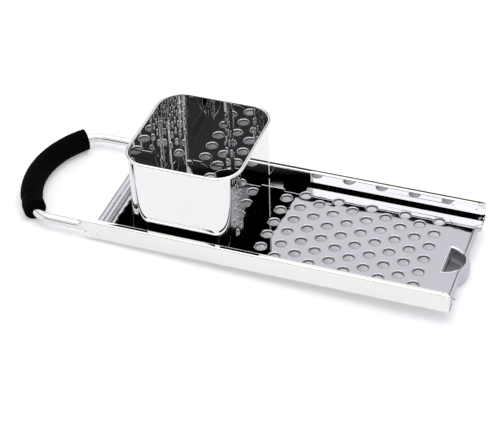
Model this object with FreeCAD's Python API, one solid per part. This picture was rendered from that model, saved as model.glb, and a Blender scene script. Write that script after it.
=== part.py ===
import FreeCAD, Part
import math
import os
from FreeCAD import Vector

# Spaetzle maker: a perforated grater plate between two folded rails, a hopper that slides
# along the rails on its base plate, a bent tube handle with a foam sleeve, and a pressed
# pocket at the far end that hooks over the rim of a pot.
# Millimetres. While it is built, x = 0 is the middle of the rails, y = 0 the centre line,
# z = 0 the top of the grater plate; +X points from the handle to the pot hook, +Z up.
# Everything is shifted at the end, so that the origin is the middle of the footprint.

# Rails
rail_length = 260.0
body_width = 103.6
rail_height = 14.8
plate_level = 3.5
rail_sheet = 0.6
rail_fold = 0.8
flange_width = 4.2
lip_clearance = 2.8
return_width = 10.0
lip_setback = 2.7
lip_slant = 2.3
tab_slit = 0.7
tab_length = 6.1
tab_slant = 1.8
tab_land = 0.4
dimple_depth = 0.8
handle_dimple_length = 12.0
handle_dimple_height = 5.0
handle_dimple_inset = 6.6
handle_dimple_level = 6.9
hook_dimple_length = 19.0
hook_dimple_height = 4.6
hook_dimple_inset = 14.5
hook_dimple_level = 11.2

# Grater plate
plate_sheet = 0.6
plate_side_gap = 0.6
hole_pitch = 14.0
hole_diameter = 8.0
hole_columns = 16
hole_rows = 11
hole_margin = 28.8
collar_wall = 0.5
collar_depth = 1.0
end_bend = 2.9
bend_land = 0.3
hook_end_inset = 1.4
handle_end_inset = 3.0
handle_end_bend = 1.7
ear_radius = 6.5
ear_start = 34.5
stop_inset = 11.2
stop_length = 94.8
stop_width = 6.5
stop_height = 2.2
stop_slope = 1.3
stop_bend = 1.1

# Pot hook, a D-shaped pocket pressed into the end of the plate
hook_inset = 15.2
hook_offset = -2.4
hook_mouth_radius = 14.2
hook_belly_radius = 16.7
hook_depth = 13.4
hook_shoulder = 6.0
hook_corner = 3.9
hook_swell_out = 0.8
hook_swell_down = 0.45

# Handle
tube_diameter = 6.8
tube_wall = 1.0
tube_level = 5.0
tube_spread = 49.7
handle_reach = 56.4
bight_radius = 66.0
corner_radius = 20.0
tang_thickness = 2.0
tang_spread = 49.3
tang_length = 14.0
tang_taper = 4.0
grip_diameter = 16.0
grip_clearance = 0.1
grip_end_angle = 46.0

# Hopper
hopper_sheet = 0.6
hopper_length = 80.4
hopper_side_gap = 4.5
hopper_corner = 16.8
hopper_height = 63.7
hopper_inset = 69.2
rim_diameter = 2.4
lap_width = 6.0
lap_place = 2.6

# Slide base under the hopper
base_sheet = 0.8
base_length = 98.0
base_side_gap = 0.8
base_clearance = 0.2
collar_height = 4.8
collar_gap = 0.1
base_corner = 3.0

# Places that follow from the sizes
half_rail = rail_length / 2
half_width = body_width / 2
rail_bottom = -plate_level
rail_top = rail_height - plate_level
wall_inside = half_width - rail_sheet
lip_inside = half_width - flange_width
plate_half = wall_inside - plate_side_gap
return_top = rail_bottom + rail_sheet
hook_end = half_rail - hook_end_inset
handle_end = -half_rail + handle_end_inset
hook_bend_start = hook_end - plate_sheet / 2 - end_bend - bend_land
hook_x = half_rail - hook_inset
stop_x = -half_rail + stop_inset
hopper_x = -half_rail + hopper_inset
hopper_width = 2 * (lip_inside - hopper_side_gap)
base_top = base_clearance + base_sheet
column_step = hole_pitch * math.sin(math.radians(60))
row_step = hole_pitch / 2

# How far a cutting body reaches past the sheet it cuts
over = 1.0


def side_place(y):
    """Turns side-view points (x, z) into points at one y."""
    return lambda a, b: Vector(a, y, b)


def end_place(x):
    """Turns end-view points (y, z) into points at one x."""
    return lambda a, b: Vector(x, a, b)


def direction(start, end):
    length = math.hypot(end[0] - start[0], end[1] - start[1])
    return (end[0] - start[0]) / length, (end[1] - start[1]) / length


def left_point(point, heading, distance):
    return point[0] - heading[1] * distance, point[1] + heading[0] * distance


def sheet_side(points, bends, offset, place):
    """One face of a folded sheet: lines joined by arcs, `offset` to the left of its middle line."""
    edges = []
    start = left_point(points[0], direction(points[0], points[1]), offset)
    for before, corner, after, bend in zip(points, points[1:], points[2:], bends):
        heading_in = direction(before, corner)
        heading_out = direction(corner, after)
        cross = heading_in[0] * heading_out[1] - heading_in[1] * heading_out[0]
        dot = heading_in[0] * heading_out[0] + heading_in[1] * heading_out[1]
        turn = math.atan2(cross, dot)
        side = 1 if turn > 0 else -1
        trim = bend * math.tan(abs(turn) / 2)
        tangent = (corner[0] - heading_in[0] * trim, corner[1] - heading_in[1] * trim)
        centre = left_point(tangent, heading_in, bend * side)
        radius = bend - side * offset
        middle = (heading_in[0] + heading_out[0], heading_in[1] + heading_out[1])
        heading_mid = direction((0, 0), middle)
        headings = (heading_in, heading_mid, heading_out)
        arc = [left_point(centre, heading, -side * radius) for heading in headings]
        edges.append(Part.makeLine(place(*start), place(*arc[0])))
        edges.append(Part.Arc(*[place(*point) for point in arc]).toShape())
        start = arc[2]
    end = left_point(points[-1], direction(points[-2], points[-1]), offset)
    edges.append(Part.makeLine(place(*start), place(*end)))
    return edges, left_point(points[0], direction(points[0], points[1]), offset), end


def sheet_section(points, bends, sheet, place):
    """Section of a folded sheet of even thickness around its middle line."""
    left, left_start, left_end = sheet_side(points, bends, sheet / 2, place)
    right, right_start, right_end = sheet_side(points, bends, -sheet / 2, place)
    last = Part.makeLine(place(*left_end), place(*right_end))
    first = Part.makeLine(place(*right_start), place(*left_start))
    return Part.Face(Part.Wire(Part.__sortEdges__(left + right + [last, first])))


def rounded_rectangle(length, width, radius, level, middle_x):
    """Plan outline with round corners, as a wire."""
    a = length / 2
    b = width / 2
    k = radius * (1 - math.sqrt(0.5))
    place = lambda x, y: Vector(middle_x + x, y, level)
    edges = []
    for sx, sy in ((1, 1), (-1, 1), (-1, -1), (1, -1)):
        along = place(sx * (a - radius), sy * b)
        across = place(sx * a, sy * (b - radius))
        corner = place(sx * (a - k), sy * (b - k))
        edges.append(Part.Arc(across, corner, along).toShape())
    for s in (1, -1):
        edges.append(Part.makeLine(place(a - radius, s * b), place(radius - a, s * b)))
        edges.append(Part.makeLine(place(s * a, b - radius), place(s * a, radius - b)))
    return Part.Wire(Part.__sortEdges__(edges))


def rounded_block(length, width, radius, low, high, middle_x):
    face = Part.Face(rounded_rectangle(length, width, radius, low, middle_x))
    return face.extrude(Vector(0, 0, high - low))


def obround(length, height, centre, depth):
    """Long pill standing in the XZ plane, `depth` thick along +Y from its centre point."""
    radius = height / 2
    half = length / 2 - radius
    body = Part.makeBox(2 * half, depth, height, centre + Vector(-half, 0, -radius))
    for side in (-1, 1):
        end = centre + Vector(side * half, 0, 0)
        body = body.fuse(Part.makeCylinder(radius, depth, end, Vector(0, 1, 0)))
    return body.removeSplitter()


def prism(points, travel):
    return Part.Face(Part.makePolygon(points + points[:1])).extrude(travel)


def mirrored(shape):
    return shape.mirror(Vector(0, 0, 0), Vector(0, 1, 0))


def add_dimple(shape, length, height, face, inward):
    """Presses a long dimple into a rail wall. `face` is the middle of the pressed face, and
    `inward` is the way the metal is pushed, +1 or -1 along y."""
    deep = dimple_depth + rail_sheet
    hollow_from = face if inward > 0 else face - Vector(0, dimple_depth, 0)
    cup_from = face if inward > 0 else face - Vector(0, deep, 0)
    hollow = obround(length, height, hollow_from, dimple_depth)
    cup = obround(length + 2 * rail_sheet, height + 2 * rail_sheet, cup_from, deep)
    return shape.fuse(cup).cut(hollow).removeSplitter()


def rail():
    """Rail on the +Y side: hanging lip, top flange, outer wall and a return under the plate."""
    half_sheet = rail_sheet / 2
    lip_y = lip_inside + half_sheet
    wall_y = half_width - half_sheet
    points = [
        (lip_y, lip_clearance),
        (lip_y, rail_top - half_sheet),
        (wall_y, rail_top - half_sheet),
        (wall_y, rail_bottom + half_sheet),
        (half_width - return_width, rail_bottom + half_sheet),
    ]
    section = sheet_section(points, [rail_fold] * 3, rail_sheet, end_place(-half_rail))
    body = section.extrude(Vector(rail_length, 0, 0))
    # the lip stops short of the hook end with a slanting edge
    flange_low = rail_top - rail_sheet - rail_fold
    lip_cut = lip_inside - over
    lip_end = half_rail - lip_setback
    beyond = half_rail + over
    lip_edge = [
        Vector(lip_end, lip_cut, flange_low + 2 * rail_fold),
        Vector(lip_end + lip_slant, lip_cut, lip_clearance - over),
        Vector(beyond, lip_cut, lip_clearance - over),
        Vector(beyond, lip_cut, rail_top + over),
        Vector(lip_end, lip_cut, rail_top + over),
    ]
    body = body.cut(prism(lip_edge, Vector(0, rail_sheet + rail_fold + over, 0)))
    # the flange is slit and its corner cut off, which leaves a three-sided tab at the end
    rise = Vector(0, 0, rail_top - flange_low + over)
    tab_start = half_rail - tab_length
    slit = [
        Vector(tab_start, wall_inside, flange_low),
        Vector(tab_start + tab_slit, wall_inside, flange_low),
        Vector(tab_start + tab_slit + tab_slant, lip_cut, flange_low),
        Vector(tab_start + tab_slant, lip_cut, flange_low),
    ]
    tab_end = half_rail - tab_land
    corner = [
        Vector(tab_end, wall_inside, flange_low),
        Vector(beyond, wall_inside, flange_low),
        Vector(beyond, lip_cut, flange_low),
        Vector(tab_end - (wall_inside - lip_cut), lip_cut, flange_low),
    ]
    body = body.cut(prism(slit, rise)).cut(prism(corner, rise))
    # one dimple crimps the handle into the outer wall, the other stiffens the lip
    face = Vector(-half_rail + handle_dimple_inset, half_width, handle_dimple_level - plate_level)
    body = add_dimple(body, handle_dimple_length, handle_dimple_height, face, -1)
    face = Vector(half_rail - hook_dimple_inset, lip_inside, hook_dimple_level - plate_level)
    return add_dimple(body, hook_dimple_length, hook_dimple_height, face, 1)


def hook_profile(extra):
    """Half section of the pot hook's belly around its upright axis; extra = 0 is the inner face."""
    mouth = hook_mouth_radius + extra
    belly = hook_belly_radius + extra
    depth = -hook_depth - extra
    corner = hook_corner + extra
    floor = belly - corner
    bulge = Vector(mouth + (belly - mouth) * hook_swell_out, 0, -hook_shoulder * hook_swell_down)
    knee = math.sqrt(0.5) * corner
    side_low = Vector(belly, 0, depth + corner)
    axis_low = Vector(0, 0, depth)
    return [
        Part.Arc(Vector(mouth, 0, 0), bulge, Vector(belly, 0, -hook_shoulder)).toShape(),
        Part.makeLine(Vector(belly, 0, -hook_shoulder), side_low),
        Part.Arc(side_low, Vector(floor + knee, 0, depth + corner - knee), Vector(floor, 0, depth)).toShape(),
        Part.makeLine(Vector(floor, 0, depth), axis_low),
        Part.makeLine(axis_low, Vector(0, 0, 0)),
        Part.makeLine(Vector(0, 0, 0), Vector(mouth, 0, 0)),
    ]


def hook_volume(extra):
    face = Part.Face(Part.Wire(Part.__sortEdges__(hook_profile(extra))))
    solid = face.revolve(Vector(0, 0, 0), Vector(0, 0, 1), 180)
    solid.rotate(Vector(0, 0, 0), Vector(0, 0, 1), -90)
    solid.translate(Vector(hook_x, hook_offset, 0))
    return solid


def hook_wall():
    """Straight wall of the pocket, which catches inside the rim of the pot."""
    face = Part.Face(Part.Wire(Part.__sortEdges__(hook_profile(plate_sheet))))
    half = face.extrude(Vector(0, plate_sheet, 0))
    wall = half.fuse(half.mirror(Vector(0, 0, 0), Vector(1, 0, 0)))
    wall.rotate(Vector(0, 0, 0), Vector(0, 0, 1), 90)
    wall.translate(Vector(hook_x, hook_offset, 0))
    return wall.removeSplitter()


def hole_centres():
    """Holes in staggered columns, counted back from the hook end."""
    last = half_rail - hole_margin
    for column in range(hole_columns):
        x = last - column * column_step
        offset = column % 2
        for row in range(offset, hole_rows, 2):
            yield x, (row - (hole_rows - 1) / 2) * row_step


def end_flange(side):
    """Flange that follows the round ear at one corner of the hook end."""
    centre = Vector(hook_bend_start + ear_radius, side * ear_start, 0)
    middle = -plate_sheet / 2
    run = end_bend + bend_land
    points = [(0, middle), (run, middle), (run, rail_bottom)]
    section = sheet_section(points, [end_bend], plate_sheet, side_place(0))
    section.translate(Vector(-ear_radius, 0, 0))
    sweep = math.degrees(math.acos(1 - (half_rail - hook_bend_start) / ear_radius))
    solid = section.revolve(Vector(0, 0, 0), Vector(0, 0, 1), -side * sweep)
    solid.translate(centre)
    return solid


def stop_block(offset, low, length):
    """Everything between the upper (offset > 0) or lower side of the stop ridge and the height `low`."""
    middle = -plate_sheet / 2
    half = stop_width / 2
    points = [
        (stop_x - half - over, middle),
        (stop_x - half, middle),
        (stop_x - half + stop_slope, middle + stop_height),
        (stop_x + half - stop_slope, middle + stop_height),
        (stop_x + half, middle),
        (stop_x + half + over, middle),
    ]
    place = side_place(-length / 2)
    edges, start, end = sheet_side(points, [stop_bend] * 4, offset, place)
    corners = [end, (end[0], low), (start[0], low), start]
    for first, second in zip(corners, corners[1:]):
        edges.append(Part.makeLine(place(*first), place(*second)))
    return Part.Face(Part.Wire(Part.__sortEdges__(edges))).extrude(Vector(0, length, 0))


def grater_plate():
    middle = -plate_sheet / 2
    low = return_top
    turned_x = handle_end + plate_sheet / 2
    points = [(turned_x, low), (turned_x, middle), (hook_bend_start, middle)]
    section = sheet_section(points, [handle_end_bend], plate_sheet, side_place(-plate_half))
    body = section.extrude(Vector(0, 2 * plate_half, 0))
    # a ridge pressed up across the plate stops the slide at the handle end
    body = body.fuse(stop_block(plate_sheet / 2, -plate_sheet, stop_length))
    under = stop_block(-plate_sheet / 2, -plate_sheet - over, stop_length - 2 * plate_sheet)
    body = body.cut(under)
    # the middle of the hook end is turned down, and the corners stay flat as round ears
    flange_x = hook_end - plate_sheet / 2
    points = [(hook_bend_start, middle), (flange_x, middle), (flange_x, rail_bottom)]
    section = sheet_section(points, [end_bend], plate_sheet, side_place(-ear_start))
    body = body.fuse(section.extrude(Vector(0, 2 * ear_start, 0)))
    ear_length = half_rail - hook_bend_start
    for side in (-1, 1):
        y = ear_start if side > 0 else -plate_half
        ear_corner = Vector(hook_bend_start, y, -plate_sheet)
        ear = Part.makeBox(ear_length, plate_half - ear_start, plate_sheet, ear_corner)
        centre = Vector(hook_bend_start + ear_radius, side * ear_start, -plate_sheet - over)
        ear = ear.cut(Part.makeCylinder(ear_radius, plate_sheet + 2 * over, centre))
        skirt_y = plate_half - plate_sheet if side > 0 else -plate_half
        skirt_length = rail_length - handle_end_inset - plate_level
        skirt_low = Vector(handle_end + plate_level, skirt_y, low)
        skirt = Part.makeBox(skirt_length, plate_sheet, -low, skirt_low)
        body = body.fuse([ear, skirt, end_flange(side)])
    collars = []
    holes = []
    radius = hole_diameter / 2
    for x, y in hole_centres():
        foot = Vector(x, y, -plate_sheet - collar_depth)
        collars.append(Part.makeCylinder(radius + collar_wall, collar_depth, foot))
        holes.append(Part.makeCylinder(radius, collar_depth + plate_sheet + over, foot))
    body = body.fuse(collars)
    body = body.cut(hook_volume(plate_sheet))
    shell = hook_volume(plate_sheet).cut(hook_volume(0))
    body = body.fuse([shell, hook_wall()])
    body = body.cut(Part.makeCompound(holes))
    return body.removeSplitter()


def handle_path(end_angle):
    """Middle line of the handle: a wide bight between two tighter corners, and the straight legs.
    With an end angle in degrees the path stops part way round each corner, without the legs."""
    bight_x = -half_rail - handle_reach + bight_radius
    corner_y = tube_spread - corner_radius
    reach = bight_radius - corner_radius
    corner_x = bight_x - math.sqrt(reach ** 2 - corner_y ** 2)
    join = math.atan2(corner_y, corner_x - bight_x)

    def on_bight(angle):
        return Vector(bight_x + bight_radius * math.cos(angle), bight_radius * math.sin(angle), tube_level)

    def on_corner(angle, side):
        x = corner_x + corner_radius * math.cos(angle)
        return Vector(x, side * (corner_y + corner_radius * math.sin(angle)), tube_level)

    last = math.pi / 2 if end_angle is None else math.radians(90 + end_angle)
    turn = (join + last) / 2
    leg_end = Vector(-half_rail - tang_taper, tube_spread, tube_level)
    edges = []
    if end_angle is None:
        edges.append(Part.makeLine(leg_end, on_corner(last, 1)))
    edges.append(Part.Arc(on_corner(last, 1), on_corner(turn, 1), on_corner(join, 1)).toShape())
    edges.append(Part.Arc(on_bight(join), on_bight(math.pi), on_bight(-join)).toShape())
    edges.append(Part.Arc(on_corner(join, -1), on_corner(turn, -1), on_corner(last, -1)).toShape())
    if end_angle is None:
        edges.append(Part.makeLine(on_corner(last, -1), Vector(leg_end.x, -leg_end.y, leg_end.z)))
    return Part.Wire(edges)


def pipe(path, radius):
    start = path.Edges[0].valueAt(path.Edges[0].FirstParameter)
    heading = path.Edges[0].tangentAt(path.Edges[0].FirstParameter)
    circle = Part.Wire(Part.makeCircle(radius, start, heading))
    return path.makePipeShell([circle], True, False)


def pill_wire(thickness, height, x, y):
    """Upright pill section of the flattened tube, across the X direction."""
    radius = thickness / 2
    half = height / 2 - radius
    low = tube_level - half
    high = tube_level + half
    far_high = Vector(x, y + radius, high)
    near_high = Vector(x, y - radius, high)
    near_low = Vector(x, y - radius, low)
    far_low = Vector(x, y + radius, low)
    edges = [
        Part.Arc(far_high, Vector(x, y, high + radius), near_high).toShape(),
        Part.makeLine(near_high, near_low),
        Part.Arc(near_low, Vector(x, y, low - radius), far_low).toShape(),
        Part.makeLine(far_low, far_high),
    ]
    return Part.Wire(edges)


def round_wire(radius, x, y):
    """Round section of the tube in four arcs, which match the four edges of the pill."""
    eighth = math.pi / 4

    def point(step):
        angle = step * eighth
        return Vector(x, y + radius * math.cos(angle), tube_level + radius * math.sin(angle))

    arcs = [Part.Arc(point(step), point(step + 1), point(step + 2)) for step in (1, 3, 5, 7)]
    return Part.Wire([arc.toShape() for arc in arcs])


def tang():
    """Flattened end of the tube on the +Y side, pushed into the rail and crimped there."""
    height = math.pi * (tube_diameter - tang_thickness) / 2 + tang_thickness
    flat = pill_wire(tang_thickness, height, -half_rail, tang_spread)
    round_end = round_wire(tube_diameter / 2, -half_rail - tang_taper, tube_spread)
    taper = Part.makeLoft([round_end, flat], True, True)
    return taper.fuse(Part.Face(flat).extrude(Vector(tang_length, 0, 0)))


def handle_tube():
    radius = tube_diameter / 2
    path = handle_path(None)
    body = pipe(path, radius).cut(pipe(path, radius - tube_wall))
    return body.fuse([tang(), mirrored(tang())])


def grip_sleeve():
    path = handle_path(grip_end_angle)
    return pipe(path, grip_diameter / 2).cut(pipe(path, tube_diameter / 2 + grip_clearance))


def hopper_wall():
    """Wrapped strip with rounded corners, lapped on one side and curled outwards round the rim."""
    inner_length = hopper_length - 2 * hopper_sheet
    inner_width = hopper_width - 2 * hopper_sheet
    inner_corner = hopper_corner - hopper_sheet
    curl_level = hopper_height - rim_diameter / 2
    outer = rounded_block(hopper_length, hopper_width, hopper_corner, base_top, curl_level, hopper_x)
    inner_low = base_top - over
    inner = rounded_block(inner_length, inner_width, inner_corner, inner_low, curl_level + over, hopper_x)
    body = outer.cut(inner)
    # the end of the strip overlaps on the inside of the far wall, above the collar of the base
    lap_low = base_clearance + collar_height + collar_gap
    lap_y = inner_width / 2 - hopper_sheet
    lap_corner = Vector(hopper_x + lap_place, lap_y, lap_low)
    lap = Part.makeBox(lap_width, hopper_sheet, curl_level - lap_low, lap_corner)
    radius = rim_diameter / 2
    spread = 2 * radius - 2 * hopper_sheet
    rim_length = hopper_length + spread
    rim_width = hopper_width + spread
    rim_corner = hopper_corner + spread / 2
    rim_path = rounded_rectangle(rim_length, rim_width, rim_corner, curl_level, hopper_x)
    rim = pipe(rim_path, radius).cut(pipe(rim_path, radius - hopper_sheet))
    return body.fuse([lap]).cut(pipe(rim_path, radius - hopper_sheet)).fuse(rim)


def slide_base():
    """Flat plate under the hopper, its edges under the rail lips, with a collar inside the hopper."""
    half_base = wall_inside - base_side_gap
    body = rounded_block(base_length, 2 * half_base, base_corner, base_clearance, base_top, hopper_x)
    taken = hopper_sheet + collar_gap
    outer_length = hopper_length - 2 * taken
    outer_width = hopper_width - 2 * taken
    outer_corner = hopper_corner - taken
    collar_top = base_clearance + collar_height
    collar = rounded_block(outer_length, outer_width, outer_corner, base_clearance, collar_top, hopper_x)
    opening_length = outer_length - 2 * base_sheet
    opening_width = outer_width - 2 * base_sheet
    opening_corner = outer_corner - base_sheet
    high = collar_top + over
    opening = rounded_block(opening_length, opening_width, opening_corner, -over, high, hopper_x)
    return body.fuse(collar).cut(opening)


far_rail = rail()
nodes = {
    "grater_plate": grater_plate(),
    "far_rail": far_rail,
    "near_rail": mirrored(far_rail),
    "handle_tube": handle_tube(),
    "grip_sleeve": grip_sleeve(),
    "hopper_wall": hopper_wall(),
    "slide_base": slide_base(),
}

# The origin goes to the middle of the footprint, at the lowest point of the pot hook
front = hook_x + hook_belly_radius + plate_sheet
back = -half_rail - handle_reach - grip_diameter / 2
shift = Vector(-(front + back) / 2, 0, hook_depth + plate_sheet)

os.makedirs("parts", exist_ok=True)
for name, shape in nodes.items():
    shape.translate(shift)
    if not shape.isValid() or len(shape.Solids) != 1:
        print("CHECK", name, "valid:", shape.isValid(), "solids:", len(shape.Solids))
    shape.Solids[0].exportStep("parts/" + name + ".step")
    box = shape.BoundBox
    corners = (box.XMin, box.YMin, box.ZMin, box.XMax, box.YMax, box.ZMax)
    print(name, [round(value, 2) for value in corners], round(shape.Volume, 1))
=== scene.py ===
import bpy
import math
from mathutils import Matrix, Vector


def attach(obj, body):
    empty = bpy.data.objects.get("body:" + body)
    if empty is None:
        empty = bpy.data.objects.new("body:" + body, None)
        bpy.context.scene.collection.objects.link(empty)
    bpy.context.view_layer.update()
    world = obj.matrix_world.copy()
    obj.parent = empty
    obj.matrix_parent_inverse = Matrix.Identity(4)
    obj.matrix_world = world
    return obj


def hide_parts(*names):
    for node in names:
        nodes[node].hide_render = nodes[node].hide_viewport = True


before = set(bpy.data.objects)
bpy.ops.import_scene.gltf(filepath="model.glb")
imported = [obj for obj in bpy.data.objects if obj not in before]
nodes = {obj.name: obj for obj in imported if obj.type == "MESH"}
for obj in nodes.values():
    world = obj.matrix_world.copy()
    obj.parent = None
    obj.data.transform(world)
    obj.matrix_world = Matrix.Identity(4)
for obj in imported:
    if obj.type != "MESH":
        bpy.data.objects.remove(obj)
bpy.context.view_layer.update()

# Camera: a long lens a good metre away, looking down on the near side of the tool from the
# hook end, with a slight lean.
camera_data = bpy.data.cameras.new("camera")
camera_data.sensor_width = 36
camera_data.lens = 117.69
camera_data.clip_start = 0.05
camera = bpy.data.objects.new("camera", camera_data)
bpy.context.scene.collection.objects.link(camera)
camera_turn = Matrix.Rotation(math.radians(20.883), 4, "Z")
camera_tip = Matrix.Rotation(math.radians(90 - 39.018), 4, "X")
camera_lean = Matrix.Rotation(math.radians(-2.036), 4, "Z")
camera_place = Matrix.Translation((0.31905, -0.82610, 0.72357))
camera.matrix_world = camera_place @ camera_turn @ camera_tip @ camera_lean
bpy.context.scene.camera = camera
bpy.context.scene.view_settings.view_transform = "Standard"


# Studio: a white tent with one soft lamp overhead. Half-way up, the tent is open to a dark
# room in which white boards stand. Polished steel mirrors the opening as its deep blacks and
# the boards as its whites; only glossy rays see them.
def linear(code):
    """Linear colour of an sRGB hex value."""
    parts = [int(code[i:i + 2], 16) / 255 for i in (0, 2, 4)]
    return [p / 12.92 if p <= 0.04045 else ((p + 0.055) / 1.055) ** 2.4 for p in parts] + [1]


def fill(tree, node, settings):
    """Sets a node's properties and inputs, and links each input that is given a socket."""
    for name, value in settings.items():
        if isinstance(value, bpy.types.NodeSocket):
            tree.links.new(value, node.inputs[name])
        elif isinstance(name, str) and hasattr(node, name):
            setattr(node, name, value)
        else:
            node.inputs[name].default_value = value


def add(tree, kind, settings={}):
    """Adds a node with its settings and links."""
    made = tree.nodes.new(kind)
    fill(tree, made, settings)
    return made


world = bpy.data.worlds.new("studio_tent")
bpy.context.scene.world = world
world.use_nodes = True
room = world.node_tree
room.nodes.clear()
way = add(room, "ShaderNodeTexCoord").outputs["Generated"]
rays = add(room, "ShaderNodeLightPath").outputs
parts = add(room, "ShaderNodeSeparateXYZ", {0: way}).outputs
up = parts["Z"]
across = {"operation": "ARCTAN2", 0: parts["X"], 1: parts["Y"]}
azimuth = add(room, "ShaderNodeMath", across).outputs[0]


def overlap(*areas):
    """What several areas of the tent share. A plain number among them dims the result."""
    shared = areas[0]
    for area in areas[1:]:
        shared = add(room, "ShaderNodeMath", {"operation": "MULTIPLY", 0: shared, 1: area}).outputs[0]
    return shared


def joined(*areas):
    """The brightest of several areas, all over the tent."""
    whole = areas[0]
    for area in areas[1:]:
        whole = add(room, "ShaderNodeMath", {"operation": "MAXIMUM", 0: whole, 1: area}).outputs[0]
    return whole


def without(area, hole):
    """An area with a hole cut in it."""
    return add(room, "ShaderNodeMath", {"operation": "SUBTRACT", 0: area, 1: hole}).outputs[0]


def step_up(value, start, rise):
    """Goes from 0 to 1 where the value passes the start, with a soft edge."""
    limits = {"From Min": start - rise, "From Max": start + rise, "Value": value}
    return add(room, "ShaderNodeMapRange", limits).outputs[0]


def between(value, start, end, rise):
    """1 where the value lies between the start and the end, with soft edges."""
    return overlap(step_up(value, start, rise), without(1.0, step_up(value, end, rise)))


def right_of(middle):
    """Angle to the right of a direction that is given in degrees to the right of +Y."""
    turned = without(azimuth, math.radians(middle))
    return add(room, "ShaderNodeMath", {"operation": "WRAP", 0: turned, 1: math.pi, 2: -math.pi}).outputs[0]


def level(elevation):
    """How high a direction of this elevation in degrees reaches, out of 1."""
    return math.sin(math.radians(elevation))


def beyond_edge(low, high):
    """1 to the right of the straight, crisp edge that runs from one direction to another.
    Each is a pair of degrees: how far right of +Y, and how high."""
    ends = []
    for side, elevation in (low, high):
        turned = math.radians(side)
        ends.append(Vector((math.sin(turned), math.cos(turned), math.tan(math.radians(elevation)))))
    normal = ends[0].cross(ends[1]).normalized()
    over = add(room, "ShaderNodeVectorMath", {"operation": "DOT_PRODUCT", 0: way, 1: normal})
    return step_up(over.outputs["Value"], 0, crisp)


# The opening runs all round the tent, and reaches lower at the back on the left.
crisp, firm, soft = 0.00015, 0.002, 0.01
low_corner = overlap(between(up, 0.38, 0.6, 0.02), between(right_of(-33), -0.16, 0.12, 0.02))
opening = joined(between(up, 0.54, 0.665, 0.006), low_corner)

# Back board, which the free half of the plate and the far rail mirror. A dark batten crosses it.
batten_top = beyond_edge((-12.6, 38.95), (-18.0, 38.25))
batten_foot = beyond_edge((-12.6, 38.45), (-18.0, 37.75))
back_board = overlap(beyond_edge((-17.97, 37.23), (-20.48, 40.23)),
                     between(right_of(0), -0.7, -0.162, firm),
                     beyond_edge((-10.9, 37.95), (-17.1, 37.15)),
                     without(1.0, without(batten_foot, batten_top)))

# End board, to the right of the back board, and the high strip that joins the two.
end_strip = overlap(between(right_of(0), -0.162, 0.3, firm), step_up(up, level(40.2), 0.001))
end_board = joined(between(right_of(13), -0.07, 0.07, firm), end_strip)

# Left board, beside the back board, and side board, a low and dimmer one that runs round the
# right of the tent and brightens as it goes.
left_board = without(between(right_of(0), -0.56, 0, soft), beyond_edge((-24.85, 36.63), (-27.03, 38.8)))
side_board = overlap(beyond_edge((20.75, 37.8), (21.05, 38.4)),
                     between(up, level(37.72), level(39.1), 0.0008),
                     between(right_of(20), -0.1, 1.6, soft))
brighter = {"operation": "MULTIPLY_ADD", 0: step_up(right_of(20), 0.75, 0.2), 1: 0.28, 2: 0.3}
side_glow = add(room, "ShaderNodeMath", brighter).outputs[0]

# Front board and near board, on the camera's side of the tent. The inside of the far rail
# mirrors the front one.
front_board = overlap(between(right_of(180), math.radians(8.5), math.radians(18), firm),
                      beyond_edge((-167.3, 38.9), (-163.7, 38.42)))
near_strip = overlap(between(right_of(180), math.radians(22.6), math.radians(30), firm),
                     step_up(up, level(37.8), 0.001))
near_board = joined(between(right_of(180), math.radians(-14), math.radians(8.5), firm), near_strip)

# Grey wall of the room beyond, and a low dark gap under the tent on the camera's side, which
# draws the grey lines along the folds of the rails.
grey_wall = between(up, 0.53, level(37.0), 0.004)
low_gap = overlap(between(right_of(180), -0.5, 0.7, 0.05), between(up, -0.05, 0.28, 0.02))

boards = joined(back_board, overlap(side_board, side_glow), overlap(end_board, 0.7),
                overlap(left_board, 1.2), overlap(front_board, 1.8), near_board,
                overlap(grey_wall, 0.05))
closed = without(without(1.0, opening), overlap(low_gap, 0.85))
roof = overlap(between(up, 0.85, 0.985, soft), 0.7)
cloth = add(room, "ShaderNodeMath", {"operation": "ADD", 0: closed, 1: roof}).outputs[0]
tent = add(room, "ShaderNodeMath", {"operation": "MULTIPLY_ADD", 0: opening, 1: boards, 2: cloth}).outputs[0]
fill_light, white = (0.62, 0.63, 0.66, 1), (1, 1, 1, 1)
mirrored = add(room, "ShaderNodeMix", {"data_type": "RGBA", 0: rays["Is Glossy Ray"], 6: fill_light, 7: tent})
seen = add(room, "ShaderNodeMix", {"data_type": "RGBA", 0: rays["Is Camera Ray"],
                                   6: mirrored.outputs[2], 7: white})
sky = add(room, "ShaderNodeBackground", {"Color": seen.outputs[2]})
add(room, "ShaderNodeOutputWorld", {"Surface": sky.outputs[0]})

lamp_data = bpy.data.lights.new("soft_lamp", "AREA")
lamp_data.shape = "DISK"
lamp_data.size = 1.4
lamp_data.energy = 8.5
lamp = bpy.data.objects.new("soft_lamp", lamp_data)
bpy.context.scene.collection.objects.link(lamp)
lamp.location = (0.15, -0.2, 1.5)
lamp.rotation_euler = (-Vector(lamp.location)).to_track_quat("-Z", "Y").to_euler()
lamp.visible_glossy = False


# Floor: the white paper of the sweep. The tool stands on its pot hook and its grip, so
# the paper leans by two degrees to touch both.
def blank_material(name):
    """A new material with its node tree and its shader."""
    made = bpy.data.materials.new(name)
    made.use_nodes = True
    return made, made.node_tree, made.node_tree.nodes["Principled BSDF"]


stand_x, stand_length, grip_drop = 0.146, 0.301, 0.011
paper_size, paper_gap = 8, 0.0002
floor_lean = math.atan2(grip_drop, stand_length)
bpy.ops.object.select_all(action="DESELECT")
bpy.ops.mesh.primitive_grid_add(x_subdivisions=8, y_subdivisions=8, size=paper_size)
floor = bpy.context.object
floor.name = "paper_floor"
floor.data.transform(Matrix.Rotation(floor_lean, 4, "Y"))
floor.data.transform(Matrix.Translation((stand_x, 0, -paper_gap)))

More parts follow.
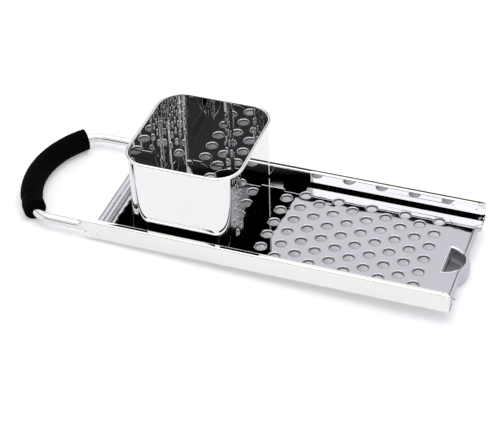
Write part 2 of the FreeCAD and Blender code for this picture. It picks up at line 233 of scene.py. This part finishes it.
# Uncoated white paper, dead matte, with fibres of about 1 mm in its tone. A faint glow, for the
# camera and for mirrors only, keeps it white to its edge; the shadow stays.
paper, tree, shader = blank_material("white_sweep_paper")
place = add(tree, "ShaderNodeTexCoord").outputs["Object"]
fibre = add(tree, "ShaderNodeTexNoise", {"Scale": 900, "Detail": 3, "Vector": place}).outputs["Fac"]
tone = add(tree, "ShaderNodeMix", {"data_type": "RGBA", 0: fibre, 6: linear("F7F7F8"), 7: linear("FBFBFC")})
rays = add(tree, "ShaderNodeLightPath").outputs
seen_glow = add(tree, "ShaderNodeMath", {"operation": "MULTIPLY", 0: rays["Is Camera Ray"], 1: 0.26})
both_glows = {"operation": "MULTIPLY_ADD", 0: rays["Is Glossy Ray"], 1: 0.07, 2: seen_glow.outputs[0]}
glow = add(tree, "ShaderNodeMath", both_glows).outputs[0]
fill(tree, shader, {"Base Color": tone.outputs[2], "Emission Strength": glow, "Emission Color": white,
                    "Roughness": 0.9, "Specular IOR Level": 0.1})
floor.data.materials.append(paper)


# Grater plate: one stainless sheet, 0.6 mm thick, punched with staggered holes whose rims
# are rolled down so that dough doesn't catch, with its pot hook drawn into the same sheet.
def steel(name, colour, roughness, wave):
    """Rolled and polished 18/10 stainless steel, which mirrors what is round it. Its gloss has
    drawn lines 0.4 mm apart and 17 mm long, coarser than real ones so that they show. Its tone
    drifts over 55 mm, and thin sheet waves every 13 mm, `wave` metres high."""
    made, tree, shader = blank_material(name)
    place = add(tree, "ShaderNodeTexCoord").outputs["Object"]
    drawn = add(tree, "ShaderNodeMapping", {"Scale": (60, 2600, 2600), "Vector": place}).outputs[0]
    lines = add(tree, "ShaderNodeTexNoise", {"Scale": 1, "Detail": 4, "Vector": drawn}).outputs["Fac"]
    shine = {"From Min": 0.35, "From Max": 0.75, "To Min": roughness, "To Max": roughness * 2.2}
    gloss = add(tree, "ShaderNodeMapRange", {**shine, "Value": lines}).outputs[0]
    slow = add(tree, "ShaderNodeTexNoise", {"Scale": 18, "Detail": 2, "Vector": place}).outputs["Fac"]
    pale = linear(colour)
    deep = [0.95 * part for part in pale[:3]] + [1]
    tone = add(tree, "ShaderNodeMix", {"data_type": "RGBA", 0: slow, 6: deep, 7: pale}).outputs[2]
    sheet_waves = add(tree, "ShaderNodeTexNoise", {"Scale": 75, "Detail": 1, "Vector": place}).outputs["Fac"]
    bump = add(tree, "ShaderNodeBump", {"Strength": 1.0, "Distance": wave, "Height": sheet_waves}).outputs[0]
    fill(tree, shader, {"Base Color": tone, "Roughness": gloss, "Normal": bump, "Metallic": 1})
    return made


def copy_of(node, name):
    """A merged copy of a CAD node, with its flat faces joined up."""
    bpy.ops.object.select_all(action="DESELECT")
    piece = nodes[node].copy()
    piece.data = nodes[node].data.copy()
    piece.name = name
    piece.parent = None
    for key in list(piece.keys()):
        del piece[key]
    bpy.context.scene.collection.objects.link(piece)
    bpy.context.view_layer.objects.active = piece
    piece.select_set(True)
    bpy.ops.mesh.customdata_custom_splitnormals_clear()
    bpy.ops.object.mode_set(mode="EDIT")
    bpy.ops.mesh.select_mode(type="EDGE")
    bpy.ops.mesh.select_all(action="SELECT")
    bpy.ops.mesh.remove_doubles(threshold=0.000005)
    bpy.ops.mesh.dissolve_limited(angle_limit=math.radians(0.5))
    bpy.ops.mesh.select_all(action="DESELECT")
    bpy.ops.object.mode_set(mode="OBJECT")
    return piece


def smooth_faces(piece):
    """Smooths a piece's curves and keeps its flats flat and its folds sharp."""
    bpy.context.view_layer.objects.active = piece
    bpy.ops.object.select_all(action="DESELECT")
    piece.select_set(True)
    bpy.ops.object.shade_smooth_by_angle(angle=math.radians(35))
    even = piece.modifiers.new("even_normals", "WEIGHTED_NORMAL")
    even.keep_sharp = True
    even.weight = 60
    bpy.ops.object.modifier_apply(modifier=even.name)


def finish(piece, material, body, node):
    """Gives a piece its material, its body and the node that it stands for."""
    piece.data.materials.clear()
    piece.data.materials.append(material)
    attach(piece, body)
    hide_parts(node)


plate_top = 0.014
hole_pitch, hole_radius = 0.014, 0.004
hole_columns, hole_rows = 16, 11
first_column = 0.13235
roll, throat = 0.0011, 0.00355
collar_wall, collar_depth = 0.00055, 0.002
longest_chord = 0.002
plate = copy_of("grater_plate", "perforated_plate")
centres = []
for column in range(hole_columns):
    x = first_column - column * hole_pitch * math.sin(math.radians(60))
    for row in range(column % 2, hole_rows, 2):
        centres.append((x, (row - (hole_rows - 1) / 2) * hole_pitch / 2))


def nearest_hole(place):
    """Centre of the hole nearest to a place, and how far the place is from it."""
    x, y = min(centres, key=lambda centre: math.hypot(place.x - centre[0], place.y - centre[1]))
    return x, y, math.hypot(place.x - x, place.y - y)


# Each collar is drawn in to its throat, and the edge round its mouth is then rolled over.
rim = set()
for v in plate.data.vertices:
    x, y, reach = nearest_hole(v.co)
    if reach < hole_radius + collar_wall and plate_top - collar_depth < v.co.z < plate_top + 0.00001:
        if abs(v.co.z - plate_top) < 0.000002:
            rim.add(v.index)
        narrower = (reach - hole_radius + throat) / reach
        v.co.x = x + (v.co.x - x) * narrower
        v.co.y = y + (v.co.y - y) * narrower
for e in plate.data.edges:
    a, b = e.vertices
    if a in rim and b in rim:
        e.select = (plate.data.vertices[a].co - plate.data.vertices[b].co).length < longest_chord
bpy.ops.object.mode_set(mode="EDIT")
bpy.ops.mesh.bevel(offset=roll, segments=6, affect="EDGES", profile=0.5, clamp_overlap=False)
bpy.ops.object.mode_set(mode="OBJECT")
smooth_faces(plate)

# Cold-rolled sheet, a cool grey mirror.
plate_steel = steel("rolled_plate_steel", "C8C8D0", 0.008, 0.00001)
finish(plate, plate_steel, "frame", "grater_plate")

# Sheared steel inside the holes: the punch leaves it duller than the rolled sheet. Its darker tone is painted
# shade, so that each hole has a grey throat inside its bright rim.
sheared_and_shaded, shear_reach, shear_top, shear_foot = 1, 0.0002, 0.00035, 0.0017
plate.data.materials.append(steel("sheared_hole_steel_painted_shade", "77777C", 0.3, 0.00001))
for face in plate.data.polygons:
    x, y, reach = nearest_hole(face.center)
    if reach < hole_radius + shear_reach and plate_top - shear_foot < face.center.z < plate_top - shear_top:
        face.material_index = sheared_and_shaded


# Drawn pocket of the pot hook: stretched in the press, so its steel is duller than the sheet.
# The light and dark bands up its straight wall are painted reflections and shade, and the white top of its
# round wall is a painted highlight.
def banded(name, bands):
    """Dull drawn steel whose tone changes with height, to paint light and shade in bands: pairs of height in
    metres and colour.
    """
    made = steel(name, "FFFFFF", 0.4, 0.00001)
    tree = made.node_tree
    place = add(tree, "ShaderNodeTexCoord").outputs["Object"]
    height = add(tree, "ShaderNodeSeparateXYZ", {0: place}).outputs["Z"]
    limits = {"From Min": 0, "From Max": plate_top, "Value": height}
    share = add(tree, "ShaderNodeMapRange", limits).outputs[0]
    ramp = add(tree, "ShaderNodeValToRGB", {"Fac": share})
    stops = ramp.color_ramp.elements
    for level_up, colour in bands[1:-1]:
        stops.new(level_up / plate_top).color = linear(colour)
    for stop, (level_up, colour) in ((stops[0], bands[0]), (stops[len(stops) - 1], bands[-1])):
        stop.position = level_up / plate_top
        stop.color = linear(colour)
    fill(tree, tree.nodes["Principled BSDF"], {"Base Color": ramp.outputs[0]})
    return made


hook_x, hook_y, hook_reach = 0.14595, -0.0024, 0.0181
painted_highlight_index, painted_bands_index = 2, 3
# Painted highlight: the top of the round wall is white, and the wall below it is grey.
round_wall_painted_light = ((0.0006, "C2C2C8"), (0.0085, "CFCFD4"), (0.0098, "FFFFFF"), (0.0138, "FFFFFF"))
# Painted reflections and shade: light and dark bands up the straight wall, darkest at its foot.
straight_wall_painted_light = ((0.0012, "5A5A5E"), (0.0032, "77777C"), (0.0040, "FFFFFF"),
                  (0.0070, "FFFFFF"), (0.0080, "8A8A8E"), (0.0138, "A5A5AA"))
plate.data.materials.append(banded("pocket_steel_painted_highlight", round_wall_painted_light))
plate.data.materials.append(banded("pocket_steel_painted_bands", straight_wall_painted_light))
for face in plate.data.polygons:
    out = Vector((face.center.x - hook_x, face.center.y - hook_y, 0))
    if face.center.z < plate_top - 0.0001 and out.length < hook_reach and out.x > -0.0003:
        if face.normal.x > 0.99 and out.x < 0.0003:
            face.material_index = painted_bands_index
        elif face.normal.dot(out) < 0 or face.normal.z > 0.9:
            face.material_index = painted_highlight_index

# Rails: two folded channels of the same stainless sheet, polished bright. Each hugs one
# edge of the plate, and is dimpled inwards near both ends to grip the handle and the slide.
# Polishing gives them the whitest mirror of all the sheets.
rail_steel = steel("bright_rail_steel", "FAF8F5", 0.01, 0.000004)
for node in ("far_rail", "near_rail"):
    rail = copy_of(node, "folded_" + node)
    smooth_faces(rail)
    finish(rail, rail_steel, "frame", node)


# Handle tube: stainless tube of 6.8 mm, bent to a wide bow and pressed flat at both ends,
# which are pushed into the rails and held by their dimples. Drawn tube is a softer mirror.
def select_where(piece, test):
    """Selects exactly the vertices of a piece, in edit mode, whose place passes the test."""
    bpy.ops.mesh.select_mode(type="VERT")
    bpy.ops.mesh.select_all(action="DESELECT")
    bpy.ops.object.mode_set(mode="OBJECT")
    for v in piece.data.vertices:
        v.select = test(v.co)
    bpy.ops.object.mode_set(mode="EDIT")


def extend(x=0, y=0, z=0):
    """Draws the selected section out along a straight line."""
    bpy.ops.mesh.extrude_region_move(TRANSFORM_OT_translate={"value": (x, y, z)})


def turn(steps, degrees, x, y):
    """Sweeps the selected section round an upright axis; positive degrees turn left."""
    bpy.ops.mesh.spin(steps=steps, angle=math.radians(-degrees), center=(x, y, 0), axis=(0, 0, 1))


def ring(name, vertices, radius, place, heading):
    """A new piece that starts as one upright circle across a level heading in degrees."""
    bpy.ops.object.select_all(action="DESELECT")
    bpy.ops.mesh.primitive_circle_add(vertices=vertices, radius=radius, location=place,
                                      rotation=(math.radians(90), 0, math.radians(heading + 90)))
    piece = bpy.context.object
    piece.name = name
    bpy.ops.object.transform_apply(location=True, rotation=True, scale=True)
    bpy.ops.object.mode_set(mode="EDIT")
    bpy.ops.mesh.select_all(action="SELECT")
    return piece


def disc(name, vertices, radius, place, heading):
    """A new piece that starts as one upright disc, for a solid sweep."""
    piece = ring(name, vertices, radius, place, heading)
    bpy.ops.mesh.edge_face_add()
    bpy.ops.mesh.select_all(action="SELECT")
    return piece


def close_up(span):
    """Merges what meets and makes all faces point outwards."""
    bpy.ops.mesh.select_all(action="SELECT")
    bpy.ops.mesh.remove_doubles(threshold=span)
    bpy.ops.mesh.normals_make_consistent(inside=False)
    bpy.ops.mesh.select_all(action="DESELECT")
    bpy.ops.object.mode_set(mode="OBJECT")


tube_radius, tube_z = 0.00339, 0.019
leg_start, spread, tang_y = -0.10285, 0.0497, 0.0495
corner_x, corner_y, corner_bend, corner_turn = -0.12438, 0.0297, 0.020, 49.8
bight_x = -0.08925
bight_turn = 180 - 2 * corner_turn
tube = ring("bent_tube", 40, tube_radius, (leg_start, spread, tube_z), 0)
extend(x=corner_x - leg_start)
turn(14, corner_turn, corner_x, corner_y)
turn(40, bight_turn, bight_x, 0)
turn(14, corner_turn, corner_x, -corner_y)
extend(x=leg_start - corner_x)
press_steps = ((0.0006, 0.98, 1.01), (0.0014, 0.62, 1.17), (0.0014, 0.55, 1.15),
               (0.0006, 0.94, 1.02), (0.014, 1, 1))
for side in (-1, 1):
    select_where(tube, lambda c: abs(c.x - leg_start) < 0.0001 and c.y * side > 0)
    for length, thinner, taller in press_steps:
        extend(x=length)
        bpy.ops.transform.resize(value=(1, thinner, taller), center_override=(0, side * tang_y, tube_z))
    bpy.ops.mesh.edge_face_add()
close_up(0.000001)
smooth_faces(tube)
tube_steel = steel("drawn_tube_steel", "F2F1EF", 0.035, 0.000004)
finish(tube, tube_steel, "frame", "handle_tube")

# Pressed lip of the hook's mouth: the rounded edge over which the sheet was drawn down into
# the pocket. The die has polished it, so it catches a bright line. It runs out where the
# plate bends down.
lip_radius, lip_corner, mouth_radius = 0.0012, 0.0015, 0.0142
lip_z = plate_top - lip_radius + 0.00005
run_out, corner_at = 40, 83.2
lip_turn, lip_corner_turn = corner_at - run_out, 180 - corner_at
lip_start = (hook_x + mouth_radius * math.cos(math.radians(run_out)),
             hook_y + mouth_radius * math.sin(math.radians(run_out)), lip_z)
lip = disc("pressed_lip", 20, lip_radius, lip_start, run_out + 90)
turn(14, lip_turn, hook_x, hook_y)
bend_x = hook_x + lip_corner
bend_y = hook_y + (mouth_radius - lip_corner) * math.sin(math.radians(corner_at))
turn(8, lip_corner_turn, bend_x, bend_y)
extend(y=2 * (hook_y - bend_y))
turn(8, lip_corner_turn, bend_x, 2 * hook_y - bend_y)
turn(14, lip_turn, hook_x, hook_y)
close_up(0.000001)
smooth_faces(lip)
lip_steel = steel("pressed_lip_steel", "F0F0F3", 0.04, 0.00001)
finish(lip, lip_steel, "frame", "grater_plate")

# Grip: a sleeve of black foam rubber, pushed over the bow of the handle and held by its
# own squeeze. Its near end has crept a little and is pinched.
grip_radius, grip_steps = 0.00799, 64
end_turn = 46
end_arc = corner_turn - end_turn
start_angle = math.radians(90 + end_turn)
grip_start = (corner_x + corner_bend * math.cos(start_angle),
              corner_y + corner_bend * math.sin(start_angle), tube_z)
grip = disc("foam_sleeve", 64, grip_radius, grip_start, end_turn + 180)
turn(3, end_arc, corner_x, corner_y)
turn(grip_steps, bight_turn, bight_x, 0)
turn(3, end_arc, corner_x, -corner_y)
bight_radius = math.hypot(corner_x - bight_x - corner_bend * math.sin(math.radians(corner_turn)),
                          corner_y + corner_bend * math.cos(math.radians(corner_turn)))
for steps_in, narrower in ((5, 0.975), (6, 0.93), (7, 0.90), (8, 0.92), (9, 0.965)):
    heading = math.radians(corner_turn + 90 + steps_in * bight_turn / grip_steps)
    select_where(grip, lambda c: abs(math.atan2(-c.y, c.x - bight_x) - heading) < 0.002)
    ring_middle = (bight_x + bight_radius * math.cos(heading), -bight_radius * math.sin(heading), tube_z)
    bpy.ops.transform.resize(value=(narrower, narrower, narrower), center_override=ring_middle)
close_up(0.000001)
smooth_faces(grip)

# Foam rubber, blown and skinned: deep black, with no shine. Its cells of 0.8 mm and lumps of
# 2.4 mm are coarser than real ones, so that they show.
foam, tree, shader = blank_material("foam_rubber")
place = add(tree, "ShaderNodeTexCoord").outputs["Object"]
cells = add(tree, "ShaderNodeTexVoronoi", {"Scale": 1300, "Vector": place}).outputs["Distance"]
lump_size = {"Scale": 420, "Detail": 5, "Roughness": 0.65, "Vector": place}
lumps = add(tree, "ShaderNodeTexNoise", lump_size).outputs["Fac"]
relief = add(tree, "ShaderNodeMath", {"operation": "ADD", 0: cells, 1: lumps}).outputs[0]
bump = add(tree, "ShaderNodeBump", {"Strength": 0.6, "Distance": 0.00015, "Height": relief}).outputs[0]
tone = add(tree, "ShaderNodeMix", {"data_type": "RGBA", 0: lumps, 6: linear("010101"), 7: linear("050505")})
fill(tree, shader, {"Base Color": tone.outputs[2], "Normal": bump, "Roughness": 0.95,
                    "Specular IOR Level": 0.06})
finish(grip, foam, "frame", "grip_sleeve")

# Slide base: a flat stainless sheet that runs under the rail lips, with a low collar
# turned up round its opening, over which the hopper is pressed. It is the flattest mirror
# on the tool.
base = copy_of("slide_base", "slide_sheet")
smooth_faces(base)
slide_steel = steel("slide_steel", "E6E5E4", 0.006, 0.000004)
finish(base, slide_steel, "hopper", "slide_base")

# Hopper: a strip of stainless sheet, bent to a square with round corners. Its rim is curled
# outwards over a 2.4 mm bead, and its ends lap inside the far wall. It is polished as bright
# as the rails.
hopper_x = -0.02965
half_length, half_width, corner = 0.0402, 0.0431, 0.0168
wall, bead = 0.0006, 0.0012
foot, curl = 0.015, 0.076495
run_x, run_y = half_length - corner, half_width - corner
close = 0.00001
bead_y = -half_width + wall - bead
hopper = ring("steel_hopper", 24, bead, (hopper_x - run_x, bead_y, curl), 0)
select_where(hopper, lambda c: c.y > -half_width + close and c.z < curl - close)
bpy.ops.mesh.delete(type="VERT")
select_where(hopper, lambda c: abs(c.y + half_width - wall) < close and abs(c.z - curl) < close)
extend(z=foot - curl)
lowest = curl - bead * math.sin(math.radians(60))
select_where(hopper, lambda c: abs(c.y + half_width) < close and abs(c.z - lowest) < 10 * close)
extend(z=foot - lowest)
select_where(hopper, lambda c: abs(c.z - foot) < close)
bpy.ops.mesh.edge_face_add()
bpy.ops.mesh.select_all(action="SELECT")
for along_x, along_y, side_x, side_y in ((2, 0, 1, -1), (0, 2, 1, 1), (-2, 0, -1, 1), (0, -2, -1, -1)):
    extend(x=along_x * run_x, y=along_y * run_y)
    turn(18, 90, hopper_x + side_x * run_x, side_y * run_y)
close_up(close)
smooth_faces(hopper)
hopper_steel = steel("hopper_steel", "FCFBFA", 0.01, 0.000004)
finish(hopper, hopper_steel, "hopper", "hopper_wall")

# Lapped end of the strip, spot-welded inside the far wall and slightly sprung, so that it is
# a shallow valley.
lap_middle, lap_half = hopper_x + 0.0056, 0.003
lap_low, lap_high = 0.0191, 0.0764
lap_flatness, lap_valley = 0.19, 0.0004
bpy.ops.object.select_all(action="DESELECT")
bpy.ops.mesh.primitive_cylinder_add(vertices=48, radius=lap_half, depth=lap_high - lap_low,
                                    location=(lap_middle, half_width - wall, (lap_low + lap_high) / 2))
lap = bpy.context.object
lap.name = "lapped_end"
lap.scale = (1, lap_flatness, 1)
bpy.ops.object.transform_apply(location=True, rotation=True, scale=True)
for v in lap.data.vertices:
    if v.co.y < half_width - wall:
        share = (v.co.x - lap_middle) / lap_half
        v.co.y = half_width - 2 * wall + lap_valley * (1 - share ** 2)
smooth_faces(lap)
finish(lap, hopper_steel, "hopper", "hopper_wall")
